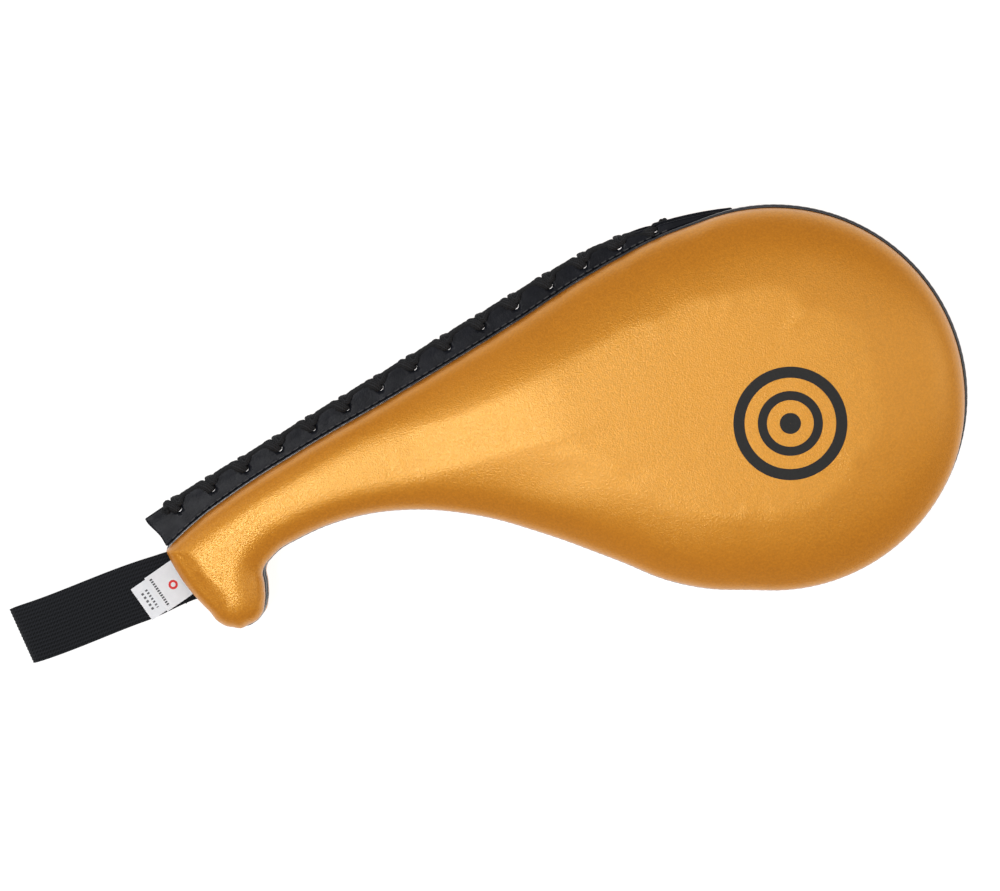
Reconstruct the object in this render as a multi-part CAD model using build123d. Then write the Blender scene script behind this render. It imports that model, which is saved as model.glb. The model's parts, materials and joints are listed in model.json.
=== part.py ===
"""Double kick-target paddle: two padded blades, laced together along their spine edge.

Modelling frame: X runs from the handle's heel to the tip of the round head, Y points at the laced spine
edge, Z points up through both blades. The head's centre is at X = Y = 0 and the back blade's face is at
Z = 0. The last step moves everything, so that the origin is at the bottom centre of the whole object.
All sizes are in millimetres.
"""

from build123d import *
import os
from math import atan2, cos, degrees, pi, radians, sin, sqrt

os.makedirs("parts", exist_ok=True)

# ---------------------------------------------------------------- driving dimensions

# Blade
HEAD_RADIUS = 95.0
HEAD_THICKNESS = 26.0  # one blade, at the head
HANDLE_THICKNESS = 20.0  # one blade, at the handle
HANDLE_STARTS = -190.0  # X where the blade has thinned down to the handle
HEAD_ENDS = -95.0  # X where it starts to thin
BLADE_GAP = 0.15  # from the middle plane to each blade
SKIN = 1.7  # inner panel and lace flange
PANEL_MARGIN = 1.0  # inner panel beyond the cover
COVER_SKIN = 1.3
COVER_ROUND = 6.5  # rounding of the cover's outer edge
HEEL_CORNER = 2.5
FIT = 0.15  # room between a curved skin and what it holds

# Foam, plate and grip
CORE_FOAM = 8.0
PLATE = 1.5
PLATE_MARGIN = 12.0
PLATE_STARTS = -170.0
GRIP_WIDTH = 16.0
GRIP_HEIGHT = 9.0
GRIP_LENGTH = 100.0
GRIP_LOW = 5.0
GRIP_CENTRE = (-232.0, 28.0)
GRIP_TURN = 8.0  # degrees from X

# Edge roll and its thread
ROLL_HEIGHT = 3.65
ROLL_INNER = 0.1
ROLL_OUTER = 1.1
STITCH_PITCH = 4.2
STITCH = (2.8, 0.6, 0.35)
STITCH_FROM_SEAM = 1.9
STITCH_STARTS = 6.0
STITCH_COUNT = 70

# Lacing, measured along the spine edge from the heel
SPINE_SLOPE = 13.06  # degrees from X
HOLE_COUNT = 15
HOLE_PITCH = 19.8
FIRST_HOLE = 12.6
HOLE_FROM_EDGE = 4.8
HOLE_RADIUS = 1.9
LACE_RADIUS = 1.05
LACE_RISE = 3.4  # strands above and below the middle plane
LACE_OVERHANG = 2.4  # strands beyond the flange's edge
LACE_LEAVES = 6.0  # past its hole, where the lace comes out behind the edge
LACE_RETURNS = 13.5  # past its hole, where it is in front of the edge again
HOLE_BEND = 2.4
EDGE_BEND = 3.6
KNOT_RADIUS = 2.6
KNOT_LENGTH = 5.0
KNOT_ROUND = 1.4
KNOT_RISE = 4.8
KNOT_FROM_HOLE = 7.5

# Wrist strap
STRAP_WIDTH = 30.0
STRAP_MIDDLE = 4.5  # Y
STRAP_LAYER = 1.5
STRAP_ROOT = 1.75  # half the height where both layers are sewn together
STRAP_BELOW = 3.0  # hinge line below the middle plane
STRAP_SEWN = -322.0  # X where the two layers part
STRAP_FOLD_X = -391.0
STRAP_FOLD_Z = 7.6
STRAP_FOLD_RADIUS = 7.0
STRAP_STITCH = (0.7, 2.6, 0.3)
STRAP_STITCH_ROWS = (3.0, 4.6)  # from the hinge line
STRAP_STITCH_COUNT = 7
STRAP_STITCH_PITCH = 3.7

# Labels: depth out from the heel seam, width along it
SIZE_LABEL = (17.6, 20.4)
CARE_LABEL = (26.8, 19.0)
LABEL_THICKNESS = 0.3
LABEL_GAP = 0.3
LABEL_STARTS = 3.9  # from the heel seam

# Places on the blade
MIDDLE = HEAD_THICKNESS  # Z of the middle plane
SPINE_MEETS_HEAD = 93.0  # degrees round the head
BELLY_MEETS_HEAD = -110.0
HINGE_POINT = Vector(-314.4, 40.6)  # the flanges' outer corner at the heel
HEEL_END = (-311.4, 22.8)  # their inner corner
FRONT_EDGE_STRAIGHT, FRONT_EDGE_END = 236.5, (4.0, 96.6)
BACK_EDGE_STRAIGHT, BACK_EDGE_END = 245.7, (9.4, 96.9)
FLANGE_UNDER_COVER = [(-40.0, 80.0), (-180.0, 48.0), (-300.0, 18.0)]  # cut away by the seam
HOLES_STRAIGHT, HOLES_END = 247.6, (-29.6, 98.0)
HEEL_POINT = Vector(-308.8, 5.6)  # middle of the heel seam, where the strap comes out
HEEL_RUN = (-8.7, 29.0)  # direction of the heel seam
STRAP_HINGE_OUT = 3.35  # from the heel seam

# Bigger than the whole paddle, for cutting
BEYOND = 800.0


# ---------------------------------------------------------------- outlines from arcs


def bend(start, end, direction):
    """An arc that leaves start along direction and reaches end, or a line where it doesn't turn."""
    if direction.get_angle(end - start) < 0.02:
        return Line(start, end)
    return TangentArc(start, end, tangent=direction)


def two_arcs(start, start_direction, end, end_direction):
    """Two arcs that join start to end and are tangent to both directions and to each other."""
    span = end - start
    both = start_direction + end_direction
    turn = 2 * (1 - start_direction.dot(end_direction))
    along = span.dot(both)
    if turn < 1e-9:
        reach = span.dot(span) / (2 * along)
    else:
        reach = (sqrt(along**2 + turn * span.dot(span)) - along) / turn
    first = start + start_direction * reach
    last = end - end_direction * reach
    return [bend(start, (first + last) / 2, start_direction), bend((first + last) / 2, end, last - first)]


def direction_at(before, here, after):
    """Direction, at here, of the circle through three points."""
    back, ahead = here - before, after - here
    return (back * (ahead.length / back.length) + ahead * (back.length / ahead.length)).normalized()


def smooth_run(points, start_direction=None, end_direction=None):
    """Tangent arcs through the points, smooth from the first to the last."""
    points = [Vector(*point) for point in points]
    directions = [direction_at(*points[i - 1 : i + 2]) for i in range(1, len(points) - 1)]
    first = start_direction or mirrored(directions[0], points[1] - points[0])
    last = end_direction or mirrored(directions[-1], points[-1] - points[-2])
    directions = [first] + directions + [last]
    edges = []
    for i in range(len(points) - 1):
        edges += two_arcs(points[i], directions[i], points[i + 1], directions[i + 1])
    return edges


def mirrored(direction, chord):
    """The direction at the other end of an arc with this chord."""
    unit = chord.normalized()
    return unit * (2 * direction.dot(unit)) - direction


def on_head(angle, radius=HEAD_RADIUS):
    return Vector(radius * cos(radians(angle)), radius * sin(radians(angle)))


def blade_outline():
    """The cover's outline: round head, neck, grip, hooked guard, heel and spine."""
    head = ThreePointArc(on_head(SPINE_MEETS_HEAD), on_head(0), on_head(BELLY_MEETS_HEAD))
    belly = [
        tuple(on_head(BELLY_MEETS_HEAD)),
        (-63.0, -78.0),
        (-74.0, -71.8),
        (-100.0, -50.8),
        (-126.5, -30.1),
        (-156.0, -10.5),
        (-187.0, 2.9),
        (-214.0, 8.4),
        (-243.0, 7.6),
        (-262.5, 2.6),
        (-270.0, -3.0),
        (-271.7, -11.0),
        (-274.5, -19.5),
        (-279.8, -25.6),
        (-287.5, -27.0),
        (-295.3, -23.8),
        (-301.0, -13.5),
        (-307.0, 0.0),
        (-311.7, 21.4),
    ]
    spine = [
        (-311.7, 21.4),
        (-294.0, 29.8),
        (-267.0, 38.9),
        (-232.6, 47.7),
        (-176.1, 59.9),
        (-119.1, 73.4),
        (-61.7, 88.2),
        (-30.0, 93.6),
        tuple(on_head(SPINE_MEETS_HEAD)),
    ]
    head_in, head_out = on_head(SPINE_MEETS_HEAD - 90, 1), on_head(BELLY_MEETS_HEAD - 90, 1)
    seam = smooth_run(spine, end_direction=head_in)
    face = make_face([head] + smooth_run(belly, start_direction=head_out) + seam)
    heel_corner = face.vertices().sort_by_distance((*spine[0], 0))[0]
    return fillet(heel_corner, HEEL_CORNER), Wire(seam)


SPINE_UNIT = Vector(cos(radians(SPINE_SLOPE)), sin(radians(SPINE_SLOPE)))
SPINE_OUT = Vector(-SPINE_UNIT.Y, SPINE_UNIT.X)


def flange_edge(straight, end):
    """The flange's free edge: straight along the hinge line, then curved in to the head."""
    straight_end = HINGE_POINT + SPINE_UNIT * straight
    return Wire([Line(HINGE_POINT, straight_end), TangentArc(straight_end, end, tangent=SPINE_UNIT)])


def hole_line():
    """The line that the lace holes follow."""
    start = HINGE_POINT - SPINE_OUT * HOLE_FROM_EDGE
    straight_end = start + SPINE_UNIT * HOLES_STRAIGHT
    return Wire([Line(start, straight_end), TangentArc(straight_end, HOLES_END, tangent=SPINE_UNIT)])


def along(line, distance):
    """The point of a line at a distance from its start."""
    return line @ (distance / line.length)


OUTLINE, SEAM = blade_outline()
FRONT_EDGE = flange_edge(FRONT_EDGE_STRAIGHT, FRONT_EDGE_END)
BACK_EDGE = flange_edge(BACK_EDGE_STRAIGHT, BACK_EDGE_END)
HOLE_LINE = hole_line()
HOLES = [along(HOLE_LINE, FIRST_HOLE + HOLE_PITCH * i) for i in range(HOLE_COUNT)]

# The heel seam's direction, its outward normal, and the strap's hinge line beside it
HEEL_UNIT = Vector(*HEEL_RUN).normalized()
HEEL_OUT = Vector(-HEEL_UNIT.Y, HEEL_UNIT.X)
STRAP_HINGE = HEEL_POINT + HEEL_OUT * STRAP_HINGE_OUT + Vector(0, 0, MIDDLE - STRAP_BELOW)


# ---------------------------------------------------------------- one blade, its middle plane at Z = 0


def blade_space(inset, low):
    """The space inside the blade: the outline inset all round, thinner at the handle, rounded on top."""
    outline = OUTLINE if inset == 0 else offset(OUTLINE, -inset)
    head_top, handle_top = HEAD_THICKNESS - inset, HANDLE_THICKNESS - inset
    handle_start, head_end = (HANDLE_STARTS, handle_top), (HEAD_ENDS, head_top)
    step = smooth_run([head_end, handle_start], Vector(-1, 0), Vector(-1, 0))
    corners = [(-BEYOND, handle_top), (-BEYOND, 0), (BEYOND, 0), (BEYOND, head_top)]
    below = Polyline(handle_start, *corners, head_end)
    block = extrude(Plane.XZ * make_face(step + below.edges()), BEYOND, both=True)
    space = extrude(outline, BEYOND) & block
    top_edges = [edge for edge in space.edges() if edge.center().Z > handle_top - FIT]
    rim_edges = [edge for edge in top_edges if edge.geom_type != GeomType.LINE]
    return layer(fillet(rim_edges, COVER_ROUND - inset), low, HEAD_THICKNESS)


def layer(solid, low, high):
    """The part of a solid between two heights."""
    slab = Box(BEYOND, BEYOND, high - low, align=(Align.CENTER, Align.CENTER, Align.MIN))
    return solid & Pos(0, 0, low) * slab


def ring(inner, outer, low, high):
    """A band round the outline, between two distances from it."""
    band = extrude(offset(OUTLINE, outer), high - low) - extrude(offset(OUTLINE, inner), high - low)
    return Pos(0, 0, low) * band


def grip_bar(room):
    """The firm bar inside the handle, with round ends, larger by some room all round."""
    slot = SlotOverall(GRIP_LENGTH + 2 * room, GRIP_WIDTH + 2 * room)
    plan = Pos(*GRIP_CENTRE) * Rot(0, 0, GRIP_TURN) * slot
    return Pos(0, 0, GRIP_LOW - room) * extrude(plan, GRIP_HEIGHT + 2 * room)


def plate_shape(room, low):
    """The thin plate inside the head and neck."""
    plan = offset(OUTLINE, room - PLATE_MARGIN)
    plate = Pos(0, 0, low) * extrude(plan, PLATE)
    head_side = Box(BEYOND, BEYOND, BEYOND, align=(Align.MIN, Align.CENTER, Align.CENTER))
    return plate & Pos(PLATE_STARTS - room, 0, 0) * head_side


def lace_flange(edge):
    """The strip outside the seam, between the inner panel and its free edge, with the lace holes."""
    end = edge @ 1
    inside = Polyline(end, (end.X + 3, 88), *FLANGE_UNDER_COVER, HEEL_END, HINGE_POINT)
    strip = extrude(make_face(edge.edges() + inside.edges()), SKIN)
    strip -= extrude(offset(OUTLINE, PANEL_MARGIN + ROLL_INNER), SKIN)
    for hole in HOLES:
        strip -= Pos(hole.X, hole.Y, 0) * Cylinder(HOLE_RADIUS, 3 * SKIN)
    return Pos(0, 0, BLADE_GAP) * strip


def seam_thread(height):
    """A row of separate stitches beside the seam, on top of the flange."""
    stitch = Box(*STITCH, align=(Align.CENTER, Align.CENTER, Align.MIN))
    row = []
    for i in range(STITCH_COUNT):
        step = (STITCH_STARTS + STITCH_PITCH * i) / SEAM.length
        heading = SEAM % step
        place = SEAM @ step + Vector(-heading.Y, heading.X) * STITCH_FROM_SEAM
        turn = degrees(atan2(heading.Y, heading.X))
        row.append(Pos(place.X, place.Y, height) * Rot(0, 0, turn) * stitch)
    return row


def blade(edge):
    """Every piece of one blade, lying outward from the middle plane at Z = 0."""
    skin_top = BLADE_GAP + SKIN
    plate_low = skin_top + CORE_FOAM
    filling = blade_space(COVER_SKIN + FIT, skin_top)
    grip_room = grip_bar(FIT)
    return {
        "cover": blade_space(0, skin_top) - blade_space(COVER_SKIN, skin_top),
        "impact_foam": layer(filling, plate_low, HEAD_THICKNESS) - plate_shape(FIT, plate_low) - grip_room,
        "stiffener_plate": plate_shape(0, plate_low),
        "core_foam": layer(filling, skin_top, plate_low) - grip_room,
        "grip_core": grip_bar(0),
        "inner_panel": Pos(0, 0, BLADE_GAP) * extrude(offset(OUTLINE, PANEL_MARGIN), SKIN),
        "lace_flange": lace_flange(edge),
        "edge_roll": ring(ROLL_INNER, ROLL_OUTER, skin_top, skin_top + ROLL_HEIGHT),
        "seam_thread": seam_thread(skin_top),
    }


# ---------------------------------------------------------------- lace


def lace_route():
    """Down through each hole, round behind the flanges' edge, and over it to the next hole."""
    up, out = Vector(0, 0, LACE_RISE), SPINE_OUT * LACE_OVERHANG
    route = [HOLES[0] - SPINE_UNIT * KNOT_FROM_HOLE + Vector(0, 0, KNOT_RISE)]
    for i, hole in enumerate(HOLES):
        passed = FIRST_HOLE + HOLE_PITCH * i
        leaves = along(BACK_EDGE, passed + LACE_LEAVES) + out
        returns = along(BACK_EDGE, passed + LACE_RETURNS) + out
        route += [hole + up, hole - up, leaves - up, returns + up]
    route[-2:] = [HOLES[-1] + SPINE_UNIT * KNOT_FROM_HOLE - Vector(0, 0, KNOT_RISE)]
    return route


def lace_and_knots():
    route = lace_route()
    radii = [HOLE_BEND, HOLE_BEND, EDGE_BEND, EDGE_BEND] * HOLE_COUNT
    path = FilletPolyline(*route, radius=radii[: len(route) - 2])
    lace = sweep(Plane(origin=path @ 0, z_dir=path % 0) * Circle(LACE_RADIUS), path=path)
    filled = lace.volume / (pi * LACE_RADIUS**2 * path.length)
    print(f"lace: {path.length:.0f} mm long, volume / (section x length) {filled:.4f}")
    bead = Cylinder(KNOT_RADIUS, KNOT_LENGTH, align=(Align.CENTER, Align.CENTER, Align.MIN))
    knot = fillet(bead.edges().filter_by(GeomType.CIRCLE), KNOT_ROUND)
    ends = [(path @ 0, path % 0 * -1), (path @ 1, path % 1)]
    knots = [Plane(origin=end, z_dir=away) * knot for end, away in ends]
    return lace, knots


# ---------------------------------------------------------------- strap and labels


def strap_side_view(inset):
    """The strap's closed loop seen along Y: flat and sewn together at the heel, open at the fold."""
    sewn = Pos(STRAP_SEWN, STRAP_HINGE.Z) * Circle(STRAP_ROOT - inset)
    fold = Pos(STRAP_FOLD_X, STRAP_FOLD_Z) * Circle(STRAP_FOLD_RADIUS - inset)
    return make_hull(sewn.edges() + fold.edges())


def across_strap(side_view):
    return Pos(0, STRAP_MIDDLE, 0) * extrude(Plane.XZ * side_view, STRAP_WIDTH / 2, both=True)


def wrist_strap():
    root = Pos(STRAP_SEWN, STRAP_HINGE.Z) * Rectangle(BEYOND, 2 * STRAP_ROOT, align=(Align.MIN, Align.CENTER))
    strap = across_strap(strap_side_view(0) + root) - across_strap(strap_side_view(STRAP_LAYER))
    heel = Plane(origin=STRAP_HINGE, x_dir=HEEL_OUT, z_dir=Vector(0, 0, 1))
    strap -= heel * Box(BEYOND, BEYOND, BEYOND, align=(Align.MAX, Align.CENTER, Align.CENTER))
    hinge = Plane(origin=STRAP_HINGE, z_dir=HEEL_UNIT) * Cylinder(STRAP_ROOT, 2 * STRAP_WIDTH)
    around = across_strap(Pos(STRAP_HINGE.X, STRAP_HINGE.Z) * Rectangle(STRAP_WIDTH, STRAP_WIDTH))
    return strap + (hinge & around)


def strap_thread():
    """Rows of stitches that close the loop, on the underside beside the heel."""
    stitch = Box(*STRAP_STITCH, align=(Align.CENTER, Align.CENTER, Align.MAX))
    underside = Plane(origin=STRAP_HINGE - Vector(0, 0, STRAP_ROOT), x_dir=HEEL_OUT, z_dir=Vector(0, 0, 1))
    first = -STRAP_STITCH_PITCH * (STRAP_STITCH_COUNT - 1) / 2
    return [
        underside * Pos(row, first + STRAP_STITCH_PITCH * i, 0) * stitch
        for row in STRAP_STITCH_ROWS
        for i in range(STRAP_STITCH_COUNT)
    ]


def label(size, level):
    """A flat label that starts just off the heel seam and lies out over the strap."""
    depth, width = size
    seam = HEEL_POINT + Vector(0, 0, STRAP_HINGE.Z + STRAP_ROOT + LABEL_GAP + level * LABEL_THICKNESS)
    place = Plane(origin=seam, x_dir=HEEL_OUT, z_dir=Vector(0, 0, 1))
    flat = Box(depth - LABEL_STARTS, width, LABEL_THICKNESS, align=(Align.MIN, Align.CENTER, Align.MIN))
    return place * Pos(LABEL_STARTS, 0, 0) * flat


# ---------------------------------------------------------------- the whole paddle

nodes = {}
for piece, shape in blade(FRONT_EDGE).items():
    nodes["front_" + piece] = [Pos(0, 0, MIDDLE) * s for s in (shape if isinstance(shape, list) else [shape])]
for piece, shape in blade(BACK_EDGE).items():
    turned = [mirror(s, about=Plane.XY) for s in (shape if isinstance(shape, list) else [shape])]
    nodes["back_" + piece] = [Pos(0, 0, MIDDLE) * s for s in turned]

lace, knots = lace_and_knots()
nodes["spine_lace"] = [Pos(0, 0, MIDDLE) * lace]
nodes["heel_lace_knot"] = [Pos(0, 0, MIDDLE) * knots[0]]
nodes["head_lace_knot"] = [Pos(0, 0, MIDDLE) * knots[1]]
nodes["wrist_strap"] = [wrist_strap()]
nodes["strap_thread"] = strap_thread()
nodes["care_label"] = [label(CARE_LABEL, 0)]
nodes["size_label"] = [label(SIZE_LABEL, 1)]

solids = {name: [s for shape in shapes for s in shape.solids()] for name, shapes in nodes.items()}
whole = Compound([solid for group in solids.values() for solid in group]).bounding_box()
shift = Location((-whole.center().X, -whole.center().Y, -whole.min.Z))
print(f"moved by {shift.position}, size {whole.size}")
for name, group in solids.items():
    export_step(Compound([solid.moved(shift) for solid in group]), f"parts/{name}.step")
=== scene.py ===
"""The looks of the double kick-target paddle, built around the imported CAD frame.

Lengths are metres. "Height" is the distance from the middle plane between the two blades, counted
outward on both of them. A side is 1 for the front blade and -1 for the back blade.
"""

import json
import math

import bpy
import numpy as np
from mathutils import Matrix, Vector, geometry
from mathutils.bvhtree import BVHTree


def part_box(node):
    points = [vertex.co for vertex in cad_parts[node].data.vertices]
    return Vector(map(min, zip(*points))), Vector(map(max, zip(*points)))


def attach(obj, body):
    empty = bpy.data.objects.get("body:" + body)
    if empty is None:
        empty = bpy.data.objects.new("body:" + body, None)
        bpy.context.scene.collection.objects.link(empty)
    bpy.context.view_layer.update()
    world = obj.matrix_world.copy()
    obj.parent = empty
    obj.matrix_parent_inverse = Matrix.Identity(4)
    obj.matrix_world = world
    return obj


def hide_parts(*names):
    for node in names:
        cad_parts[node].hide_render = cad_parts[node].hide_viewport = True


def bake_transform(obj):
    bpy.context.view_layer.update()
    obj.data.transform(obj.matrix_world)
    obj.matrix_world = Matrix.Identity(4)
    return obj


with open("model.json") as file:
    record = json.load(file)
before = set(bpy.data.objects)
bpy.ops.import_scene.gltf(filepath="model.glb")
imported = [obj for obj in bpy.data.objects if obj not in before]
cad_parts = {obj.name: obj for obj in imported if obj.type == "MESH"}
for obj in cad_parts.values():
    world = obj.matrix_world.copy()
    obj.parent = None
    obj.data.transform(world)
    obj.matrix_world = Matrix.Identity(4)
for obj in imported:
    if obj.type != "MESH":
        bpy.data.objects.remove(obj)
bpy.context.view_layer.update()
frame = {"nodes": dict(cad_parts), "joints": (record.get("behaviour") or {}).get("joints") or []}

MM = 0.001
SIDES = {"front": 1, "back": -1}

# ---------------------------------------------------------------- places read from the frame

COVER_LOW, COVER_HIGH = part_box("front_cover")
PANEL_LOW, PANEL_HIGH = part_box("front_inner_panel")
MIDDLE = (PANEL_LOW.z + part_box("back_inner_panel")[1].z) / 2
SKIN_TOP = PANEL_HIGH.z - MIDDLE
HEAD_HEIGHT = COVER_HIGH.z - MIDDLE
ROLL_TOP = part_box("front_edge_roll")[1].z - MIDDLE
HEAD_RADIUS = (COVER_HIGH.y - COVER_LOW.y) / 2
HEAD = np.array([COVER_HIGH.x - HEAD_RADIUS, (COVER_HIGH.y + COVER_LOW.y) / 2])
HEEL_X = COVER_LOW.x
JOINTS = {joint["name"]: joint for joint in frame["joints"]}
SIZE_LABEL = (17.6, 20.4)  # Millimetres out from the heel seam, and along it
CARE_LABEL = (26.8, 19.0)


def place(x, y):
    """The point of the frame that lies at x, y millimetres from the head's centre."""
    return HEAD + np.array([x, y]) * MM


# ---------------------------------------------------------------- outlines


def flat_loops(node, height):
    """The closed edges of a CAD node's flat face at a height, longest first, as arrays of points."""
    mesh = frame["nodes"][node].data
    points = np.array([v.co for v in mesh.vertices])
    level = abs(points[:, 2] - height) < 1e-5
    keys = [tuple(np.round(p[:2], 6)) for p in points]
    edges = {}
    for face in mesh.polygons:
        corners = list(face.vertices)
        if all(level[c] for c in corners):
            for a, b in zip(corners, corners[1:] + corners[:1]):
                pair = tuple(sorted((keys[a], keys[b])))
                if pair[0] != pair[1]:
                    edges[pair] = edges.get(pair, 0) + 1
    after = {}
    for (a, b), uses in edges.items():
        if uses == 1:
            after.setdefault(a, []).append(b)
            after.setdefault(b, []).append(a)
    loops = []
    while after:
        start = min(after)
        loop, here = [start], start
        while True:
            ways = [p for p in after[here] if p not in loop[-2:]] if len(loop) > 1 else after[here]
            ways = [p for p in ways if p == start or p not in loop] if len(loop) > 2 else ways
            if not ways or (ways[0] == start and len(loop) > 2):
                break
            here = ways[0]
            loop.append(here)
        for p in loop:
            after.pop(p, None)
        if len(loop) > 2:
            loops.append(np.array(loop))
    return sorted(loops, key=lambda loop: -length_of(loop, True))


def length_of(points, closed=False):
    ends = np.roll(points, -1, 0) if closed else points[1:]
    starts = points if closed else points[:-1]
    return np.linalg.norm(ends - starts, axis=1).sum()


def resample(points, count, closed=True):
    """Evenly spaced points along a line; a closed one runs anticlockwise from its rightmost point."""
    if closed:
        x, y = points[:, 0], points[:, 1]
        if (x * np.roll(y, -1) - np.roll(x, -1) * y).sum() < 0:
            points = points[::-1]
        points = np.roll(points, -int(np.argmax(points[:, 0])), 0)
        points = np.vstack([points, points[:1]])
    steps = np.linalg.norm(np.diff(points, axis=0), axis=1)
    run = np.concatenate([[0], np.cumsum(steps)])
    at = np.linspace(0, run[-1], count + 1)[:-1] if closed else np.linspace(0, run[-1], count)
    return np.column_stack([np.interp(at, run, points[:, k]) for k in range(points.shape[1])])


def unit(vectors):
    return vectors / np.maximum(np.linalg.norm(vectors, axis=-1, keepdims=True), 1e-12)


def blurred(values, sigma):
    """Gaussian blur along a closed row of samples."""
    if sigma <= 0:
        return values
    reach = int(3 * sigma) + 1
    weights = np.exp(-0.5 * (np.arange(-reach, reach + 1) / sigma) ** 2)
    total = sum(w * np.roll(values, k, 0) for k, w in zip(range(-reach, reach + 1), weights))
    return total / weights.sum()


def outward(points):
    """Outward directions of a closed anticlockwise line."""
    along = unit(np.roll(points, -1, 0) - np.roll(points, 1, 0))
    return np.column_stack([along[:, 1], -along[:, 0]])


def distance_to(line, points):
    """Distance of each point to a closed line, and the index of the line's nearest sample."""
    ends = np.roll(line, -1, 0)
    span = ends - line
    best, nearest = np.full(len(points), 1e9), np.zeros(len(points), int)
    for i in range(len(line)):
        t = np.clip(((points - line[i]) @ span[i]) / (span[i] @ span[i]), 0, 1)
        away = np.linalg.norm(points - line[i] - t[:, None] * span[i], axis=1)
        closer = away < best
        best[closer], nearest[closer] = away[closer], i
    return best, nearest


def smooth_distance(line, points):
    """Distance to a closed line, blended where several parts of it are equally near."""
    power = 5
    straight = math.sqrt(math.pi) * math.gamma((power - 1) / 2) / math.gamma(power / 2)
    step = length_of(line, True) / len(line)
    total = np.zeros(len(points))
    for p in line:
        total += step / np.maximum(np.linalg.norm(points - p, axis=1), 0.2 * MM) ** power
    return (straight / total) ** (1 / (power - 1))


def inside(line, points):
    """Which points lie inside a closed line."""
    ends = np.roll(line, -1, 0)
    result = np.zeros(len(points), bool)
    for (x1, y1), (x2, y2) in zip(line, ends):
        if y1 != y2:
            crosses = (y1 > points[:, 1]) != (y2 > points[:, 1])
            result ^= crosses & (points[:, 0] < (x2 - x1) * (points[:, 1] - y1) / (y2 - y1) + x1)
    return result


OUTLINE_STEPS = 600
OUTLINE = resample(flat_loops("front_cover", COVER_LOW.z)[0], OUTLINE_STEPS)
OUTLINE_STEP = length_of(OUTLINE, True) / OUTLINE_STEPS
OUT = outward(OUTLINE)


def beside_outline(distance, softness=1.0):
    """The outline moved out, or in by a negative distance, along directions that turn softly at corners."""
    sigma = softness * abs(distance) / OUTLINE_STEP
    return OUTLINE + unit(blurred(OUT, sigma)) * distance


# ---------------------------------------------------------------- meshes


def make_object(name, points, faces, material, sharp_at=None, uv=None):
    """A smooth-shaded mesh object. uv gives one texture point per vertex of each face, in face order."""
    mesh = bpy.data.meshes.new(name)
    mesh.from_pydata([tuple(p) for p in points], [], [tuple(int(i) for i in f) for f in faces])
    if uv is not None:
        layer = mesh.uv_layers.new(name="along")
        layer.data.foreach_set("uv", np.array(uv, np.float32).ravel())
    mesh.validate()
    mesh.polygons.foreach_set("use_smooth", [True] * len(mesh.polygons))
    if sharp_at is not None:
        mesh.set_sharp_from_angle(angle=math.radians(sharp_at))
    mesh.materials.append(material)
    made = bpy.data.objects.new(name, mesh)
    bpy.context.scene.collection.objects.link(made)
    return made


def triangulated(loops, extra):
    """Triangles inside the first loop and outside the others, through extra points."""
    points = np.vstack(list(loops) + [extra])
    rings, first = [], 0
    for loop in loops:
        rings.append(list(range(first, first + len(loop))))
        first += len(loop)
    middle = points.mean(0)
    result = geometry.delaunay_2d_cdt([Vector(p - middle) for p in points], [], rings, 1, 1e-7)
    flat = np.array([tuple(v) for v in result[0]]) + middle
    if len(flat) != len(points) or abs(flat - points).max() > 1e-6:
        raise ValueError("the outline crosses itself or has doubled points")
    triangles = np.array([tuple(f) for f in result[2]])
    centres = flat[triangles].mean(1)
    keep = inside(loops[0], centres)
    for hole in loops[1:]:
        keep &= ~inside(hole, centres)
    return flat, [tuple(t) for t in triangles[keep]]


def hex_grid(low, high, spacing):
    """Points of a triangular grid over a rectangle."""
    rows = np.arange(low[1], high[1], spacing * math.sqrt(3) / 2)
    points = []
    for k, y in enumerate(rows):
        xs = np.arange(low[0], high[0], spacing) + (spacing / 2 if k % 2 else 0)
        points.append(np.column_stack([xs, np.full(len(xs), y)]))
    return np.vstack(points)


def strip_faces(rows, count, closed=True):
    """Quads between rows of count points each."""
    faces = []
    last = count if closed else count - 1
    for r in range(rows - 1):
        for i in range(last):
            j = (i + 1) % count
            faces.append((r * count + i, r * count + j, (r + 1) * count + j, (r + 1) * count + i))
    return faces


def sweep(name, centres, across, up, sections, material, closed=False, sharp_at=None, v=None):
    """A solid run along centres. sections holds, for each centre, a closed section's points (across, up).
    v is the texture's second coordinate at each section point; without it, it goes from 0 to 1 round it.
    """
    count = sections.shape[1]
    rings = (
        centres[:, None, :]
        + across[:, None, :] * sections[:, :, :1]
        + up[:, None, :] * sections[:, :, 1:]
    )
    rows = len(centres)
    run = np.concatenate([[0], np.cumsum(np.linalg.norm(np.diff(centres, axis=0), axis=1))])
    round_it = np.linspace(0, 1, count + 1) if v is None else np.append(v, v[0])
    faces, uv = [], []
    for r in range(rows if closed else rows - 1):
        s = (r + 1) % rows
        u0, u1 = run[r], run[r + 1] if r + 1 < rows else run[r] + (run[1] - run[0])
        for i in range(count):
            j = (i + 1) % count
            faces.append((r * count + i, s * count + i, s * count + j, r * count + j))
            uv += [(u0, round_it[i]), (u1, round_it[i]), (u1, round_it[i + 1]), (u0, round_it[i + 1])]
    if not closed:
        faces += [tuple(range(count)), tuple(reversed(range((rows - 1) * count, rows * count)))]
        uv += [(0, 0)] * count + [(run[-1], 0)] * count
    return make_object(name, rings.reshape(-1, 3), faces, material, sharp_at, uv)


def ellipse(width, height, count=16, power=2.0):
    """Closed section round an ellipse, squarer with a higher power."""
    angle = np.linspace(0, 2 * math.pi, count, endpoint=False)
    c, s = np.cos(angle), np.sin(angle)
    x = np.sign(c) * abs(c) ** (2 / power) * width / 2
    y = np.sign(s) * abs(s) ** (2 / power) * height / 2
    return np.column_stack([x, y])


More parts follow.
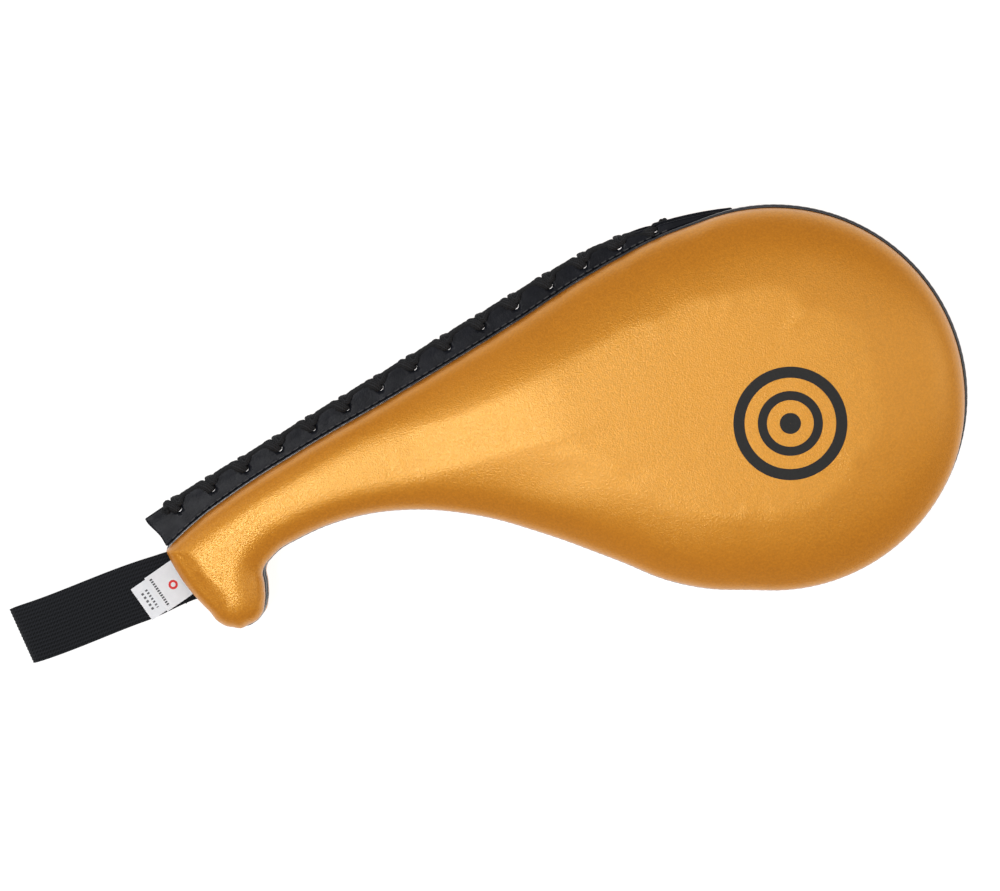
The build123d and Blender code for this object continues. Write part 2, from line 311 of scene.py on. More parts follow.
def spline(points, per_span):
    """Catmull-Rom curve through rows of numbers."""
    p = np.array(points, float)
    p = np.vstack([2 * p[0] - p[1], p, 2 * p[-1] - p[-2]])
    out = []
    for i in range(1, len(p) - 2):
        a, b, c, d = p[i - 1 : i + 3]
        square, cube = 2 * a - 5 * b + 4 * c - d, 3 * b - a - 3 * c + d
        for t in np.linspace(0, 1, per_span, endpoint=False):
            out.append(0.5 * (2 * b + (c - a) * t + square * t * t + cube * t**3))
    out.append(p[-2])
    return np.array(out)


def smoothstep(low, high, values):
    """0 below low, 1 above high, with a soft S between."""
    t = np.clip((values - low) / (high - low), 0, 1)
    return t * t * (3 - 2 * t)


# ---------------------------------------------------------------- materials


class Look:
    """A node material with one principled shader."""

    def __init__(self, name, color, roughness, **inputs):
        self.material = bpy.data.materials.new(name)
        self.material.use_nodes = True
        self.tree = self.material.node_tree
        self.shader = self.tree.nodes["Principled BSDF"]
        self.shader.inputs["Base Color"].default_value = (*color, 1)
        self.shader.inputs["Roughness"].default_value = roughness
        for key, value in inputs.items():
            self.shader.inputs[key.replace("_", " ")].default_value = value

    def node(self, kind, links=None, **settings):
        made = self.tree.nodes.new(kind)
        for key, value in settings.items():
            if key in made.bl_rna.properties:
                setattr(made, key, value)
            else:
                made.inputs[key.replace("_", " ")].default_value = value
        for socket, source in (links or {}).items():
            self.tree.links.new(source, made.inputs[socket])
        return made

    def place(self, scale=(1, 1, 1), uv=False):
        where = self.node("ShaderNodeTexCoord").outputs["UV" if uv else "Object"]
        return self.node("ShaderNodeMapping", {"Vector": where}, Scale=scale).outputs["Vector"]

    def noise(self, where, scale, detail=3.0, roughness=0.55):
        settings = {"Scale": scale, "Detail": detail, "Roughness": roughness}
        return self.node("ShaderNodeTexNoise", {"Vector": where}, **settings).outputs["Fac"]

    def math(self, operation, a, b=0.0, c=0.0):
        made = self.node("ShaderNodeMath", operation=operation)
        for i, value in enumerate((a, b, c)):
            if isinstance(value, (int, float)):
                made.inputs[i].default_value = value
            else:
                self.tree.links.new(value, made.inputs[i])
        return made.outputs[0]

    def ramp(self, value, low, high):
        """0 below low, 1 above high."""
        made = self.node("ShaderNodeMapRange", {"Value": value})
        made.inputs["From Min"].default_value = low
        made.inputs["From Max"].default_value = high
        return made.outputs["Result"]

    def mix(self, fac, a, b):
        made = self.node("ShaderNodeMix", data_type="RGBA")
        for socket, value in ((made.inputs[0], fac), (made.inputs[6], a), (made.inputs[7], b)):
            if isinstance(value, (int, float)):
                socket.default_value = value
            elif isinstance(value, tuple):
                socket.default_value = (*value, 1)
            else:
                self.tree.links.new(value, socket)
        return made.outputs[2]

    def bump(self, height, distance, strength=1.0, normal=None):
        links = {"Height": height}
        if normal is not None:
            links["Normal"] = normal
        made = self.node("ShaderNodeBump", links, Strength=strength, Distance=distance)
        return made.outputs["Normal"]

    def use(self, **sources):
        for key, source in sources.items():
            self.tree.links.new(source, self.shader.inputs[key.replace("_", " ")])
        return self.material


def gold_leather():
    """Pearly gold coated leather over a fine pebbled grain."""
    look = Look("gold_coated_leather", (0.47, 0.132, 0.002), 0.38, IOR=2.65, Specular_IOR_Level=0.5,
                Specular_Tint=(1.0, 0.60, 0.08, 1), Coat_Weight=0.5, Coat_Roughness=0.25, Coat_IOR=1.5)
    where = look.place()
    grain = look.node("ShaderNodeTexVoronoi", {"Vector": where}, Scale=1350.0).outputs["Distance"]
    fine = look.noise(where, 2400.0, 2.0)
    cloud = look.noise(where, 14.0, 3.0)
    speck = look.noise(where, 900.0, 2.0)
    color = look.mix(look.ramp(cloud, 0.3, 0.7), (0.43, 0.117, 0.001), (0.49, 0.137, 0.002))
    color = look.mix(look.ramp(speck, 0.35, 0.75), color, (0.60, 0.188, 0.005))
    soft = look.bump(look.noise(where, 60.0, 2.0), 0.0005, 0.10)
    normal = look.bump(look.math("ADD", grain, fine), 0.00014, 0.55, soft)
    return look.use(Base_Color=color, Normal=normal, Coat_Normal=normal)


def black_leather(name="black_coated_leather", shade=0.006, rough=0.33, gloss=0.07):
    """Bluish black coated leather, paler where it is worn."""
    fresh, worn = (shade, shade * 1.1, shade * 1.6), (shade * 2, shade * 2.2, shade * 3.1)
    look = Look(name, fresh, rough, Specular_IOR_Level=gloss)
    where = look.place()
    color = look.mix(look.ramp(look.noise(where, 90.0, 4.0), 0.4, 0.75), fresh, worn)
    roughness = look.math("MULTIPLY_ADD", look.noise(where, 130.0, 3.0), 0.2, rough - 0.1)
    grain = look.node("ShaderNodeTexVoronoi", {"Vector": where}, Scale=1500.0).outputs["Distance"]
    normal = look.bump(grain, 0.00008, 0.4, look.bump(look.noise(where, 150.0, 2.0), 0.0006, 0.3))
    return look.use(Base_Color=color, Roughness=roughness, Normal=normal)


def woven_lace():
    """Flat lace with ribs along it and a slanted weave across them."""
    look = Look("woven_lace", (0.02, 0.02, 0.02), 0.75, Specular_IOR_Level=0.3)
    where = look.place(uv=True)
    parts = look.node("ShaderNodeSeparateXYZ", {"Vector": where}).outputs
    slant = look.math("SINE", look.math("ADD", look.math("MULTIPLY", parts["X"], 7000.0),
                                        look.math("MULTIPLY", parts["Y"], 60.0)))
    ribs = look.math("SINE", look.math("MULTIPLY", parts["Y"], 2 * math.pi * 14))
    weave = look.math("ADD", look.math("MULTIPLY", slant, 0.6), ribs)
    color = look.mix(look.ramp(weave, -1.2, 1.4), (0.004, 0.004, 0.0045), (0.022, 0.023, 0.026))
    return look.use(Base_Color=color, Normal=look.bump(weave, 0.00018, 0.7))


def elastic():
    """Webbing with raised ribs along it and a diagonal twill over them."""
    look = Look("ribbed_elastic", (0.02, 0.02, 0.02), 0.85, Specular_IOR_Level=0.2)
    parts = look.node("ShaderNodeSeparateXYZ", {"Vector": look.place(uv=True)}).outputs
    along, across = parts["X"], parts["Y"]
    twill = look.math("SINE", look.math("ADD", look.math("MULTIPLY", along, 3600.0),
                                        look.math("MULTIPLY", across, 3600.0)))
    picks = look.math("SINE", look.math("MULTIPLY", along, 5200.0))
    ribs = look.math("SINE", look.math("MULTIPLY", across, 2 * math.pi / 0.0019))
    weave = look.math("ADD", look.math("MULTIPLY", twill, 0.55),
                      look.math("ADD", look.math("MULTIPLY", picks, 0.25), look.math("MULTIPLY", ribs, 0.6)))
    color = look.mix(look.ramp(weave, -1.2, 1.3), (0.003, 0.0033, 0.004), (0.020, 0.0215, 0.026))
    return look.use(Base_Color=color, Normal=look.bump(weave, 0.0003, 0.7))


def thread():
    """Twisted black sewing thread."""
    look = Look("black_thread", (0.012, 0.012, 0.013), 0.6, Sheen_Weight=0.2)
    twist = look.noise(look.place(), 2500.0, 2.0)
    color = look.mix(twist, (0.006, 0.006, 0.007), (0.03, 0.03, 0.034))
    return look.use(Base_Color=color, Normal=look.bump(twist, 0.0001, 0.5))


def film():
    """Matt black printed film."""
    look = Look("printed_film", (0.02, 0.02, 0.02), 0.55, Specular_IOR_Level=0.25)
    where = look.place()
    color = look.mix(look.noise(where, 800.0, 2.0), (0.009, 0.0085, 0.008), (0.018, 0.017, 0.016))
    return look.use(Base_Color=color, Normal=look.bump(look.noise(where, 900.0), 0.00015, 0.4))


def satin(name, marks):
    """White satin tape with printed marks. marks adds them from the along and across sockets, 0 to 1."""
    look = Look(name, (0.86, 0.86, 0.88), 0.35, Sheen_Weight=0.3)
    parts = look.node("ShaderNodeSeparateXYZ", {"Vector": look.place(uv=True)}).outputs
    weave = look.math("SINE", look.math("MULTIPLY", parts["Y"], 700.0))
    cloth = look.mix(look.noise(look.place(), 300.0), (0.78, 0.79, 0.82), (0.90, 0.90, 0.92))
    color = marks(look, parts["X"], parts["Y"], cloth)
    return look.use(Base_Color=color, Normal=look.bump(weave, 0.00004, 0.4))


def bar(look, x, y, box):
    """1 inside a box (x low, x high, y low, y high), else 0."""
    left = look.math("GREATER_THAN", x, box[0])
    right = look.math("LESS_THAN", x, box[1])
    low = look.math("GREATER_THAN", y, box[2])
    high = look.math("LESS_THAN", y, box[3])
    return look.math("MULTIPLY", look.math("MULTIPLY", left, right), look.math("MULTIPLY", low, high))


def size_marks(look, x, y, cloth):
    """A small red ring, and a broken grey line near the free edge."""
    dx = look.math("MULTIPLY", look.math("SUBTRACT", x, 0.42), SIZE_LABEL[0] * MM)
    dy = look.math("MULTIPLY", look.math("SUBTRACT", y, 0.47), SIZE_LABEL[1] * MM)
    away = look.math("SQRT", look.math("ADD", look.math("MULTIPLY", dx, dx), look.math("MULTIPLY", dy, dy)))
    hollow = look.math("GREATER_THAN", away, 1.2 * MM)
    ring = look.math("MULTIPLY", hollow, look.math("LESS_THAN", away, 2.4 * MM))
    color = look.mix(ring, cloth, (0.75, 0.02, 0.02))
    gaps = look.math("GREATER_THAN", look.math("SINE", look.math("MULTIPLY", y, 95.0)), -0.4)
    line = look.math("MULTIPLY", bar(look, x, y, (0.83, 0.91, 0.1, 0.9)), gaps)
    return look.mix(line, color, (0.06, 0.06, 0.065))


def care_marks(look, x, y, cloth):
    """Rows of small grey marks."""
    color = cloth
    for low, high, rate in ((0.74, 0.79, 70.0), (0.84, 0.89, 55.0)):
        gaps = look.math("GREATER_THAN", look.math("SINE", look.math("MULTIPLY", y, rate)), -0.1)
        line = look.math("MULTIPLY", bar(look, x, y, (low, high, 0.2, 0.8)), gaps)
        color = look.mix(line, color, (0.10, 0.10, 0.11))
    return color


def hard_plastic(name, low, high, rough):
    look = Look(name, low, rough)
    where = look.place()
    return look.use(Base_Color=look.mix(look.noise(where, 120.0), low, high),
                    Normal=look.bump(look.noise(where, 900.0), 0.0001, 0.4))


def foam(name, low, high):
    look = Look(name, low, 0.9)
    cells = look.node("ShaderNodeTexVoronoi", {"Vector": look.place()}, Scale=700.0).outputs["Distance"]
    return look.use(Base_Color=look.mix(cells, low, high), Normal=look.bump(cells, 0.0004, 0.8))


GOLD = gold_leather()
BLACK = black_leather()
ROLL = black_leather("black_edge_roll", 0.008, 0.22, 0.75)
LACE = woven_lace()
ELASTIC = elastic()
THREAD = thread()
FILM = film()
SIZE_TAPE = satin("size_tape", size_marks)
CARE_TAPE = satin("care_tape", care_marks)
LINING = {
    "core_foam": foam("firm_foam", (0.22, 0.22, 0.24), (0.36, 0.36, 0.38)),
    "stiffener_plate": hard_plastic("stiff_sheet", (0.72, 0.72, 0.68), (0.82, 0.82, 0.79), 0.5),
    "grip_core": hard_plastic("grip_plastic", (0.12, 0.12, 0.12), (0.18, 0.18, 0.18), 0.55),
    "inner_panel": BLACK,
    "seam_thread": THREAD,
}
CARRIED_OVER = {f"{side}_{piece}": material for side in SIDES for piece, material in LINING.items()}
CARRIED_OVER["strap_thread"] = THREAD
for node, material in CARRIED_OVER.items():
    slots = frame["nodes"][node].data.materials
    slots.clear()
    slots.append(material)


# ---------------------------------------------------------------- covers

ROUNDING_POWER = 3.0
HEAD_ROUNDING = 60 * MM
HANDLE_ROUNDING = 16.5 * MM
NECK_X = place(-95, 0)[0]
GRIP_X = place(-190, 0)[0]
SIDE_BULGE = 1.0 * MM
GROOVE_IN, GROOVE_WIDTH, GROOVE_DEPTH = 7.5 * MM, 1.5 * MM, 1.0 * MM
HELD_EDGE = 1.2 * MM
OUT_SOFT = unit(blurred(OUT, 1.5 * MM / OUTLINE_STEP))
HANDLE_OUTLINE = OUTLINE[OUTLINE[:, 0] < GRIP_X]
HOOK_TIP = HANDLE_OUTLINE[np.argmin(HANDLE_OUTLINE[:, 1])]
SPINE_OUT = np.array([-0.226, 0.974])
RING_INSETS = np.array([0, 0.05, 0.2, 0.5, 1.0, 1.7, 2.7, 4.0, 5.6, 7.5]) * MM
FILL_SPACING = 3.0 * MM
CLOTH_PRESSURE = 4.0
CLOTH_SHRINK = -0.001
CLOTH_FRAMES = 20
CLOTH_CAP = 2.0 * MM
CLOTH_SHARE = 0.6
CLOTH_SMOOTHING = 25


def blade_height(x):
    """Height of the blade's face: full at the head, less at the handle, by a smooth step."""
    vertices = frame["nodes"]["front_cover"].data.vertices
    handle = max(v.co.z for v in vertices if v.co.x < HEEL_X + 20 * MM) - MIDDLE
    return handle + (HEAD_HEIGHT - handle) * smoothstep(GRIP_X, NECK_X, x)


def cover_heights(points, distance, nearest):
    """Crowned height over the outline, with the pressed heel seam."""
    x = points[:, 0]
    headward = smoothstep(GRIP_X - 20 * MM, NECK_X + 30 * MM, x)
    width = HANDLE_ROUNDING + (HEAD_ROUNDING - HANDLE_ROUNDING) * headward
    blended = smooth_distance(OUTLINE, points)
    depth = distance + (blended - distance) * smoothstep(3 * MM, 9 * MM, distance)
    share = np.clip(depth / width, 0, 1)
    crown = (1 - (1 - share) ** ROUNDING_POWER) ** (1 / ROUNDING_POWER)
    height = SKIN_TOP + (blade_height(x) - SKIN_TOP) * crown
    # The seam allowance inside the heel shows as a shallow groove along it
    heel = OUTLINE[nearest, 0] < HEEL_X + 14 * MM
    heel &= (OUTLINE[nearest, 1] < place(0, 18)[1]) & (OUTLINE[nearest, 1] > place(0, -16)[1])
    groove = np.exp(-0.5 * ((distance - GROOVE_IN) / GROOVE_WIDTH) ** 2) * heel
    return height - GROOVE_DEPTH * groove


def side_bulge(inset):
    """How far a cover's stuffed side stands out over its seam, all round the outline."""
    x = OUTLINE[:, 0]
    spine = smoothstep(0.6, 0.9, OUT @ SPINE_OUT) * (1 - smoothstep(place(-20, 0)[0], place(20, 0)[0], x))
    rim = smoothstep(-0.1, 0.5, OUT @ np.array([0.6, 0.8])) * smoothstep(NECK_X, NECK_X + 50 * MM, x)
    inner_side = smoothstep(0.2, 0.8, OUT[:, 0]) * (x < GRIP_X)
    amount = 1.3 + 0.7 * inner_side - 1.15 * np.maximum(spine, rim)
    run = np.arange(OUTLINE_STEPS) * OUTLINE_STEP
    # Small uneven puckers at the tip of the hook
    near_hook = np.exp(-((np.linalg.norm(OUTLINE - HOOK_TIP, axis=1) / (15 * MM)) ** 2))
    amount = amount + near_hook * (0.25 * np.sin(run / (1.15 * MM)) + 0.3 * np.sin(run / (2.1 * MM) + 1))
    return (SIDE_BULGE * amount * math.sin(math.pi * min(1, inset / RING_INSETS[-1]) ** 0.42))[:, None]


def cover_mesh():
    """Points (x, y, height) and triangles of a cover's outer face, with its seam ring first."""
    rings = [beside_outline(-inset, 1.4) + OUT_SOFT * side_bulge(inset) for inset in RING_INSETS]
    core = rings[-1]
    grid = hex_grid(core.min(0), core.max(0), FILL_SPACING)
    grid = grid[inside(core, grid)]
    grid = grid[distance_to(core, grid)[0] > 0.6 * FILL_SPACING]
    flat, triangles = triangulated([core], grid)
    base = (len(rings) - 1) * OUTLINE_STEPS
    points = np.vstack(rings[:-1] + [flat])
    faces = strip_faces(len(rings), OUTLINE_STEPS) + [tuple(i + base for i in t) for t in triangles]
    distance, nearest = distance_to(OUTLINE, points)
    for k, inset in enumerate(RING_INSETS):
        distance[k * OUTLINE_STEPS : (k + 1) * OUTLINE_STEPS] = inset
    heights = cover_heights(points, distance, nearest)
    return np.column_stack([points, heights]), faces, distance


def bottom_faces(points):
    """Triangles that close the cover along its seam."""
    triangles = triangulated([points[:OUTLINE_STEPS, :2]], np.empty((0, 2)))[1]
    return [tuple(reversed(t)) for t in triangles]


def evened(values, faces, rounds):
    """Rows of values averaged with their neighbours over a mesh, a number of times."""
    pairs = np.array([(f[i], f[(i + 1) % len(f)]) for f in faces for i in range(len(f))])
    pairs = np.unique(np.vstack([pairs, pairs[:, ::-1]]), axis=0)
    count = np.bincount(pairs[:, 0], minlength=len(values))
    for _ in range(rounds):
        total = [np.bincount(pairs[:, 0], column[pairs[:, 1]], minlength=len(values)) for column in values.T]
        values = 0.5 * values + 0.5 * np.column_stack(total) / count[:, None]
    return values


def inflated(points, faces, distance):
    """The cover after its skin has been blown up a little by cloth simulation, held along the seam."""
    trial = make_object("trial_skin", points, faces, GOLD)
    held = trial.vertex_groups.new(name="held")
    held.add([int(i) for i in np.flatnonzero(distance < HELD_EDGE)], 1.0, "REPLACE")
    settings = trial.modifiers.new("cloth", "CLOTH").settings
    settings.quality = 6
    settings.mass = 0.3
    settings.tension_stiffness = settings.compression_stiffness = 15
    settings.shear_stiffness = 8
    settings.bending_stiffness = 1.5
    settings.use_pressure = True
    settings.uniform_pressure_force = CLOTH_PRESSURE
    settings.vertex_group_mass = "held"
    settings.shrink_min = CLOTH_SHRINK
    settings.effector_weights.gravity = 0
    for step in range(1, CLOTH_FRAMES + 1):
        bpy.context.scene.frame_set(step)
    evaluated = trial.evaluated_get(bpy.context.evaluated_depsgraph_get())
    settled = np.array([tuple(v.co) for v in evaluated.data.vertices])
    bpy.data.objects.remove(trial)
    bpy.context.scene.frame_set(1)
    moved = settled - points
    far = np.linalg.norm(moved, axis=1)
    moved = evened(moved, faces, CLOTH_SMOOTHING)
    return points + moved * (CLOTH_SHARE * np.minimum(1, CLOTH_CAP / np.maximum(far, 1e-9)))[:, None]


def pressed_flat(heights):
    """Heights held just inside the level that the paddle lies on, by a soft shoulder."""
    floor, shoulder = MIDDLE - 0.1 * MM, 0.25 * MM
    return -shoulder * np.logaddexp(-heights / shoulder, -floor / shoulder)


def make_covers():
    """The two gold skins: one shape, mirrored."""
    points, faces, distance = cover_mesh()
    faces = faces + bottom_faces(points)
    points = inflated(points, faces, distance)
    for name, side in SIDES.items():
        world = points.copy()
        heights = points[:, 2] if side == 1 else pressed_flat(points[:, 2])
        world[:, 2] = MIDDLE + side * heights
        turned = faces if side == 1 else [tuple(reversed(f)) for f in faces]
        cover = make_object(f"{name}_cover_skin", world, turned, GOLD, sharp_at=60)
        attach(cover, f"{name}_blade")
        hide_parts(f"{name}_cover", f"{name}_impact_foam")


make_covers()


# ---------------------------------------------------------------- edge rolls


ROLL_WIDTH = 1.8 * MM
ROLL_STITCH = 4.0 * MM
ROLL_FULLER = 0.5 * MM
FAR_SIDE = unit(np.array([0.9, 0.5]))


def make_rolls():
    """A thin leather roll over the seam, drawn in at each stitch and fuller round the head's far side."""
    centre = resample(beside_outline(0.15 * MM, 1.0), 2400)
    out = outward(centre)
    run = np.arange(len(centre)) * length_of(centre, True) / len(centre)
    fullness = 0.05 * MM + 0.10 * MM * abs(np.sin(math.pi * run / ROLL_STITCH))
    fullness += ROLL_FULLER * smoothstep(0.2, 0.8, out @ FAR_SIDE)
    height = (SKIN_TOP + ROLL_TOP) / 2
    for name, side in SIDES.items():
        centres = np.column_stack([centre, np.full(len(centre), MIDDLE + side * height)])
        across = np.column_stack([out, np.zeros(len(out))])
        up = np.tile([0, 0, float(side)], (len(out), 1))
        section = ellipse(ROLL_WIDTH, ROLL_TOP - SKIN_TOP, 12)
        sections = np.repeat(section[None], len(centre), 0)
        sections[:, :, 0] += fullness[:, None] * (section[:, 0] > 0)
        roll = sweep(f"{name}_rolled_edge", centres, across, up, sections, ROLL, closed=True)
        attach(roll, f"{name}_blade")
        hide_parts(f"{name}_edge_roll")


make_rolls()


# ---------------------------------------------------------------- lace flanges


def flange_loops(name):
    """The outline of a flange and its holes, from the heel to the head."""
    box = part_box(f"{name}_lace_flange")
    loops = flat_loops(f"{name}_lace_flange", box[1].z if name == "front" else box[0].z)
    holes = sorted(loops[1:], key=lambda loop: loop[:, 0].mean())
    return loops[0], holes


def free_edge(loop):
    """The flange's free edge, from the heel to the head: the loop's upper side."""
    xs = np.linspace(loop[:, 0].min() + 0.2 * MM, loop[:, 0].max() - 0.2 * MM, 500)
    ends = np.roll(loop, -1, 0)
    ys = []
    for x in xs:
        crosses = (loop[:, 0] <= x) != (ends[:, 0] <= x)
        a, b = loop[crosses], ends[crosses]
        ys.append((a[:, 1] + (x - a[:, 0]) / (b[:, 0] - a[:, 0]) * (b[:, 1] - a[:, 1])).max())
    return np.column_stack([xs, ys])


FLANGES = {name: flange_loops(name) for name in SIDES}
EDGES = {name: free_edge(loops[0]) for name, loops in FLANGES.items()}
HOLES = np.array([hole.mean(0) for hole in FLANGES["back"][1]])
FLANGE_HALF = (SKIN_TOP - (PANEL_LOW.z - MIDDLE)) / 2
FLANGE_LEVEL = SKIN_TOP - FLANGE_HALF
FLANGE_ROUNDING = 0.7 * MM
FLANGE_BOW = 0.35 * MM
LACE_PULL = 0.7 * MM


def nearest_on(line, point):
    """The nearest point of an open line to a point."""
    span = line[1:] - line[:-1]
    t = np.clip(((point - line[:-1]) * span).sum(1) / (span**2).sum(1), 0, 1)
    feet = line[:-1] + t[:, None] * span
    return feet[np.argmin(np.linalg.norm(feet - point, axis=1))]


def flange_wave(points, edge):
    """How much the lace draws the free edge in at each hole, and the strip bows out between holes, 0 to 1."""
    near, bow = np.zeros(len(points)), np.zeros(len(points))
    pitch = np.linalg.norm(HOLES[1] - HOLES[0])
    depth = np.array([np.linalg.norm(nearest_on(edge, p) - p) for p in points])
    close = 1 - smoothstep(0.5 * MM, 7 * MM, depth)
    for hole in HOLES:
        away = np.linalg.norm(points - nearest_on(edge, hole), axis=1)
        near = np.maximum(near, np.exp(-0.5 * (away / (0.14 * pitch)) ** 2))
    between = [HOLES[0] - (HOLES[1] - HOLES[0])] + list(HOLES) + [HOLES[-1] + (HOLES[-1] - HOLES[-2])]
    for a, b in zip(between[:-1], between[1:]):
        away = np.linalg.norm(points - nearest_on(edge, (a + b) / 2), axis=1)
        bow = np.maximum(bow, np.exp(-0.5 * (away / (0.30 * pitch)) ** 2))
    return near * close, bow * close


def heel_flare(points, corner):
    """How far the strip's loose end at the heel spreads, most at its free corner."""
    end = 1 - smoothstep(0, 9 * MM, points[:, 0] - points[:, 0].min())
    loose = 1 - smoothstep(1 * MM, 14 * MM, np.linalg.norm(points - corner, axis=1))
    return (end[:, None] * [-1.6, -0.7] + (end * loose)[:, None] * [-2.6, -0.9]) * MM


def flange_plan(outer, holes):
    """Points and triangles of a flange seen from above, denser near its edges."""
    sunk = [outer - outward(outer) * d for d in (0.2 * MM, 0.45 * MM, 0.8 * MM)]
    rims = [hole + outward(hole) * 0.35 * MM for hole in holes]
    grid = hex_grid(outer.min(0), outer.max(0), 1.5 * MM)
    grid = grid[inside(sunk[-1], grid)]
    grid = grid[distance_to(sunk[-1], grid)[0] > 0.7 * MM]
    for rim in rims:
        grid = grid[np.linalg.norm(grid - rim.mean(0), axis=1) > 3.0 * MM]
    extra = np.vstack(sunk + rims + [grid])
    return triangulated([outer] + holes, extra[inside(outer, extra)])


def flange_half(flat, outer, holes):
    """Half the flange's thickness at each point, thinner towards its edges and holes."""
    depth = distance_to(outer, flat)[0]
    for hole in holes:
        depth = np.minimum(depth, distance_to(hole, flat)[0] * 1.6)
    share = np.clip(depth / FLANGE_ROUNDING, 0, 1)
    return FLANGE_HALF * (0.35 + 0.65 * np.sqrt(np.clip(1 - (1 - share) ** 2, 0, 1)))


def towards_edge(point, edge):
    """Direction from the hole nearest to a point to the free edge beside that point."""
    hole = HOLES[np.argmin(np.linalg.norm(HOLES - point, axis=1))]
    return unit(nearest_on(edge, point) - hole)


def wall_faces(loops, count):
    """Quads down the edge of the outline and of each hole, from the top points to the low ones."""
    faces, first = [], 0
    for loop in loops:
        for i in range(len(loop)):
            a, b = first + i, first + (i + 1) % len(loop)
            faces.append((b, a, a + count, b + count) if first == 0 else (a, b, b + count, a + count))
        first += len(loop)
    return faces


def make_flanges():
    """The leather strips outside the covers, drawn together by the lace."""
    for name, side in SIDES.items():
        outer, holes = FLANGES[name]
        edge = EDGES[name]
        outer = resample(outer, int(length_of(outer, True) / (0.9 * MM)))
        holes = [resample(hole, 16) for hole in holes]
        flat, triangles = flange_plan(outer, holes)
        half = flange_half(flat, outer, holes)
        near, bow = flange_wave(flat, edge)
        pull = np.array([towards_edge(p, edge) for p in flat])
        moved = flat - pull * (near * LACE_PULL)[:, None]
        moved = moved + heel_flare(flat, edge[0])
        level = FLANGE_LEVEL + bow * FLANGE_BOW
        top = np.column_stack([moved, MIDDLE + side * (level + half)])
        low = np.column_stack([moved, MIDDLE + side * np.maximum(level - half, 0.1 * MM)])
        count = len(flat)
        faces = list(triangles) + [tuple(i + count for i in reversed(t)) for t in triangles]
        faces += wall_faces([outer] + holes, count)
        if side == -1:
            faces = [tuple(reversed(f)) for f in faces]
        flange = make_object(f"{name}_laced_flange", np.vstack([top, low]), faces, BLACK, sharp_at=70)
        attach(flange, f"{name}_blade")
        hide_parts(f"{name}_lace_flange")


make_flanges()


# ---------------------------------------------------------------- lace

# One wrap, as (along the edge, share of the way from hole to edge, beyond that, height), the direction
# the band's face looks (along, out, up), its width and its thickness. Millimetres.
WRAP = [
    ((-8.0, 1, 0.6, 1.3), (0, 0.6, 0.8), 2.6, 1.3),
    ((-5.6, 1, 0.5, 1.9), (-0.1, 0.5, 0.9), 2.9, 1.5),
    ((-3.9, 1, 0.3, 2.7), (-0.3, 0.35, 0.95), 3.8, 1.8),
    ((-2.6, 0.80, 0, 3.4), (-0.25, 0.1, 1), 5.0, 2.1),
    ((-1.4, 0.42, 0, 3.5), (-0.15, -0.1, 1), 5.2, 2.2),
    ((-0.3, -0.12, 0, 2.6), (0, -0.7, 0.7), 4.2, 2.1),
    ((0, -0.06, 0, 0), (0, -1, 0), 3.0, 1.8),
    ((0.2, 0.10, 0, -2.6), (0, -0.6, -0.8), 3.4, 1.9),
    ((0.8, 0.52, 0, -3.3), (0.1, 0, -1), 4.0, 1.7),
    ((1.4, 1, -0.2, -3.0), (0.1, 0.4, -1), 4.4, 1.6),
    ((1.7, 1, 1.2, 0.0), (0.2, 1, 0), 4.6, 1.7),
    ((1.7, 1, 0.4, 3.0), (0.2, 0.4, 0.9), 4.8, 1.9),
    ((2.3, 0.72, 0, 3.6), (0.2, 0.1, 1), 4.8, 2.1),
    ((4.2, 0.92, 0, 3.1), (0.1, 0.35, 0.95), 3.6, 1.8),
    ((6.4, 1, 0.4, 2.0), (0, 0.6, 0.8), 2.8, 1.3),
]


def hole_frame(i):
    """Along and out directions at a hole."""
    out = unit(nearest_on(EDGES["back"], HOLES[i]) - HOLES[i])
    return np.array([out[1], -out[0]]), out


def edge_distance(i, height):
    """From a hole to the flanges' edge: the front flange's above the middle plane, the back one's below."""
    share = np.clip((height + SKIN_TOP) / (2 * SKIN_TOP), 0, 1)
    far = {name: np.linalg.norm(nearest_on(EDGES[name], HOLES[i]) - HOLES[i]) for name in SIDES}
    return far["back"] + (far["front"] - far["back"]) * share


def wrap_rows(i):
    """Rows of position, face direction, width and thickness for one hole's wrap, all slightly uneven."""
    along, out = hole_frame(i)
    sway = 0.35 * math.sin(2.3 * i) * MM
    rows = []
    for (s, share, extra, z), face, width, thick in WRAP:
        far = edge_distance(i, z * MM)
        reach = share * (far - 0.5 * MM) + extra * MM
        fat = 1 + 0.07 * math.sin(1.7 * i + s)
        shift = sway if abs(s) > 0.5 else 0
        flat = HOLES[i] + along * (s * MM + shift) + out * reach
        look = along * face[0] + out * face[1]
        rows.append([*flat, MIDDLE + z * MM, *look, face[2], width * fat * MM, thick * fat * MM])
    return rows


KNOT_BESIDE, KNOT_OUT = 5.4 * MM, 2.4 * MM


